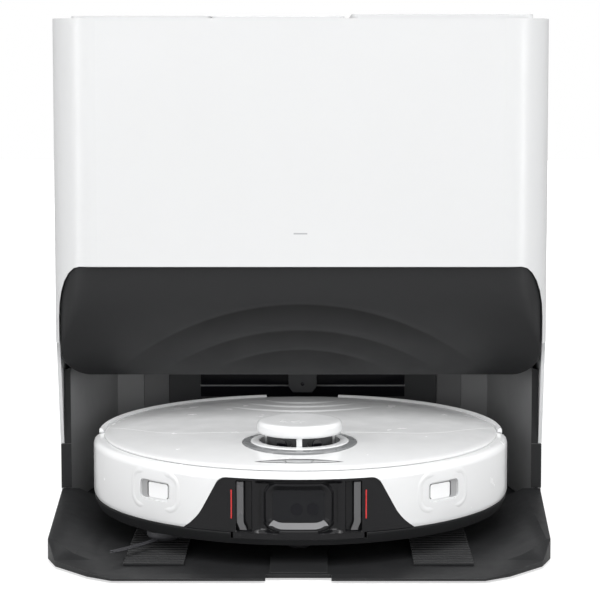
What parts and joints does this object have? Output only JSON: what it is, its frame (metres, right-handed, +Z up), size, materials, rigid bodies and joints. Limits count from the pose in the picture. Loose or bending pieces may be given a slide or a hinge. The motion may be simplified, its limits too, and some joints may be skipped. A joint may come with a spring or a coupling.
{
  "type": "robot vacuum with dock",
  "caption": "Round robot vacuum with a laser turret and sprung bumper, parked in a tall self-emptying, mop-washing dock with lift-out tanks.",
  "frame": {"origin": "centre of the bounding box's base, on the floor under the dock, with the robot parked", "axes": "+X to the right seen from the front, +Y towards the dock's back, +Z up; the front faces -Y"},
  "size_m": [0.422, 0.504, 0.4315],
  "materials": {
    "dock_white": "fine satin moulded plastic",
    "robot_white": "glossy moulded plastic",
    "charcoal": "dark satin moulded plastic",
    "dark_liner": "dark matt moulded plastic",
    "black_gloss": "glossy black",
    "smoked_glass": "smoked window",
    "clear_window": "clear ribbed window",
    "ring_grey": "glossy mid grey",
    "button_grey": "satin grey",
    "tank_plastic": "translucent moulded tank",
    "status_lamp": "diffusing light strip",
    "paper_bag": "pressed non-woven bag",
    "mop_cloth": "looped microfibre",
    "bristles": "nylon bristles",
    "rubber": "matt rubber",
    "soft_rubber": "grey soft rubber",
    "contact_metal": "plated springs",
    "machine_grey": "plain moulded plastic",
    "board_green": "coated circuit board"
  },
  "bodies": {
    "station": {"outer_shell": "dock_white", "front_panel": "dock_white", "status_light": "status_lamp", "hood": "charcoal", "top_deck": "dock_white", "base_tray": "charcoal", "wheel_tracks": "charcoal", "bay_liner": "dark_liner", "bay_ceiling": "dark_liner", "homing_beacon": "dark_liner", "dock_contacts": "contact_metal", "dock_feet": "rubber", "wash_tray": "dark_liner", "dust_bag": "paper_bag", "dock_fan_housing": "machine_grey", "water_pump": "machine_grey", "dock_board": "board_green", "power_inlet": "machine_grey"},
    "robot": {"chassis": "charcoal", "top_cover": "robot_white", "camera_module": "machine_grey", "turret_ring": "ring_grey", "turret_collar": "robot_white", "dustbin": "machine_grey", "battery": "machine_grey", "fan_housing": "machine_grey", "robot_board": "board_green"},
    "bumper": {"bumper": "robot_white", "sensor_frame": "black_gloss", "sensor_glass": "smoked_glass", "side_windows": "clear_window"},
    "rear_lid": {"rear_lid": "robot_white"},
    "turret_cap": {"turret_cap": "robot_white"},
    "lidar_rotor": {"lidar_rotor": "dark_liner"},
    "home_button": {"home_button": "button_grey"},
    "power_button": {"power_button": "button_grey"},
    "spot_button": {"spot_button": "button_grey"},
    "suction_fan": {"suction_fan": "machine_grey"},
    "wheel_arm_left": {"wheel_arm_left": "machine_grey"},
    "wheel_arm_right": {"wheel_arm_right": "machine_grey"},
    "wheel_left": {"wheel_left": "rubber"},
    "wheel_right": {"wheel_right": "rubber"},
    "caster_fork": {"caster_fork": "machine_grey"},
    "caster_wheel": {"caster_wheel": "rubber"},
    "side_brush": {"side_brush": "bristles"},
    "roller_front": {"roller_front": "soft_rubber"},
    "roller_rear": {"roller_rear": "soft_rubber"},
    "mop": {"mop_plate": "machine_grey", "mop_pad": "mop_cloth"},
    "wash_brush": {"wash_brush": "bristles"},
    "dirty_tank": {"dirty_tank": "tank_plastic", "dirty_tank_lid": "dock_white"},
    "dirty_tank_handle": {"dirty_tank_handle": "dock_white"},
    "clean_tank": {"clean_tank": "tank_plastic", "clean_tank_lid": "dock_white"},
    "clean_tank_handle": {"clean_tank_handle": "dock_white"},
    "dust_cover": {"dust_cover": "dock_white"},
    "dock_fan": {"dock_fan": "machine_grey"}
  },
  "joints": [
    {"name": "robot_drive", "type": "slide", "parent": "station", "child": "robot", "axis": [0, -1, 0], "range_m": [0, 0.42]},
    {"name": "bumper_press", "type": "slide", "parent": "robot", "child": "bumper", "axis": [0, 1, 0], "range_m": [0, 0.003], "stiffness_N_per_m": 800, "springref_m": -0.001},
    {"name": "rear_lid_hinge", "type": "hinge", "parent": "robot", "child": "rear_lid", "pos_m": [0, 0.1218, 0.075], "axis": [-1, 0, 0], "range_deg": [0, 10]},
    {"name": "turret_cap_press", "type": "slide", "parent": "robot", "child": "turret_cap", "axis": [0, 0, -1], "range_m": [0, 0.0012], "stiffness_N_per_m": 800, "springref_m": -0.001},
    {"name": "lidar_spin", "type": "hinge", "parent": "robot", "child": "lidar_rotor", "pos_m": [0, -0.136, 0.085], "axis": [0, 0, 1], "continuous": true},
    {"name": "home_button_press", "type": "slide", "parent": "robot", "child": "home_button", "axis": [0, 0, -1], "range_m": [0, 0.0008], "stiffness_N_per_m": 300, "springref_m": -0.001},
    {"name": "power_button_press", "type": "slide", "parent": "robot", "child": "power_button", "axis": [0, 0, -1], "range_m": [0, 0.0008], "stiffness_N_per_m": 300, "springref_m": -0.001},
    {"name": "spot_button_press", "type": "slide", "parent": "robot", "child": "spot_button", "axis": [0, 0, -1], "range_m": [0, 0.0008], "stiffness_N_per_m": 300, "springref_m": -0.001},
    {"name": "suction_fan_spin", "type": "hinge", "parent": "robot", "child": "suction_fan", "pos_m": [-0.05, -0.01, 0.04], "axis": [0, 0, 1], "continuous": true},
    {"name": "wheel_left_suspension", "type": "hinge", "parent": "robot", "child": "wheel_arm_left", "pos_m": [-0.092, -0.01, 0.04], "axis": [-1, 0, 0], "range_deg": [0, 7], "stiffness_Nm_per_rad": 3, "springref_deg": -8.59},
    {"name": "wheel_left_spin", "type": "hinge", "parent": "wheel_arm_left", "child": "wheel_left", "pos_m": [-0.112, -0.048, 0.041], "axis": [1, 0, 0], "continuous": true},
    {"name": "wheel_right_suspension", "type": "hinge", "parent": "robot", "child": "wheel_arm_right", "pos_m": [0.092, -0.01, 0.04], "axis": [-1, 0, 0], "range_deg": [0, 7], "stiffness_Nm_per_rad": 3, "springref_deg": -8.59},
    {"name": "wheel_right_spin", "type": "hinge", "parent": "wheel_arm_right", "child": "wheel_right", "pos_m": [0.112, -0.048, 0.041], "axis": [1, 0, 0], "continuous": true},
    {"name": "caster_swivel", "type": "hinge", "parent": "robot", "child": "caster_fork", "pos_m": [0, -0.178, 0.03], "axis": [0, 0, 1], "continuous": true},
    {"name": "caster_roll", "type": "hinge", "parent": "caster_fork", "child": "caster_wheel", "pos_m": [0, -0.173, 0.0214], "axis": [1, 0, 0], "continuous": true},
    {"name": "side_brush_spin", "type": "hinge", "parent": "robot", "child": "side_brush", "pos_m": [-0.108, -0.156, 0.02], "axis": [0, 0, 1], "continuous": true},
    {"name": "roller_front_spin", "type": "hinge", "parent": "robot", "child": "roller_front", "pos_m": [0, -0.088, 0.026], "axis": [1, 0, 0], "continuous": true},
    {"name": "roller_rear_spin", "type": "hinge", "parent": "robot", "child": "roller_rear", "pos_m": [0, -0.053, 0.026], "axis": [1, 0, 0], "continuous": true},
    {"name": "mop_lift", "type": "slide", "parent": "robot", "child": "mop", "axis": [0, 0, -1], "range_m": [0, 0.0042]},
    {"name": "wash_brush_travel", "type": "slide", "parent": "station", "child": "wash_brush", "axis": [1, 0, 0], "range_m": [0, 0.196]},
    {"name": "dirty_tank_lift", "type": "slide", "parent": "station", "child": "dirty_tank", "axis": [0, 0, 1], "range_m": [0, 0.31]},
    {"name": "dirty_tank_handle_fold", "type": "hinge", "parent": "dirty_tank", "child": "dirty_tank_handle", "pos_m": [-0.134, 0.104, 0.4283], "axis": [-1, 0, 0], "range_deg": [0, 90]},
    {"name": "clean_tank_lift", "type": "slide", "parent": "station", "child": "clean_tank", "axis": [0, 0, 1], "range_m": [0, 0.31]},
    {"name": "clean_tank_handle_fold", "type": "hinge", "parent": "clean_tank", "child": "clean_tank_handle", "pos_m": [0.119, 0.104, 0.4298], "axis": [-1, 0, 0], "range_deg": [0, 90]},
    {"name": "dust_cover_hinge", "type": "hinge", "parent": "station", "child": "dust_cover", "pos_m": [-0.0185, 0.201, 0.4254], "axis": [-1, 0, 0], "range_deg": [0, 80]},
    {"name": "dock_fan_spin", "type": "hinge", "parent": "station", "child": "dock_fan", "pos_m": [-0.018, 0.062, 0.165], "axis": [0, 0, 1], "continuous": true}
  ],
  "couplings": [
    {"joint": "roller_rear_spin", "follows": "roller_front_spin", "ratio": -1}
  ]
}
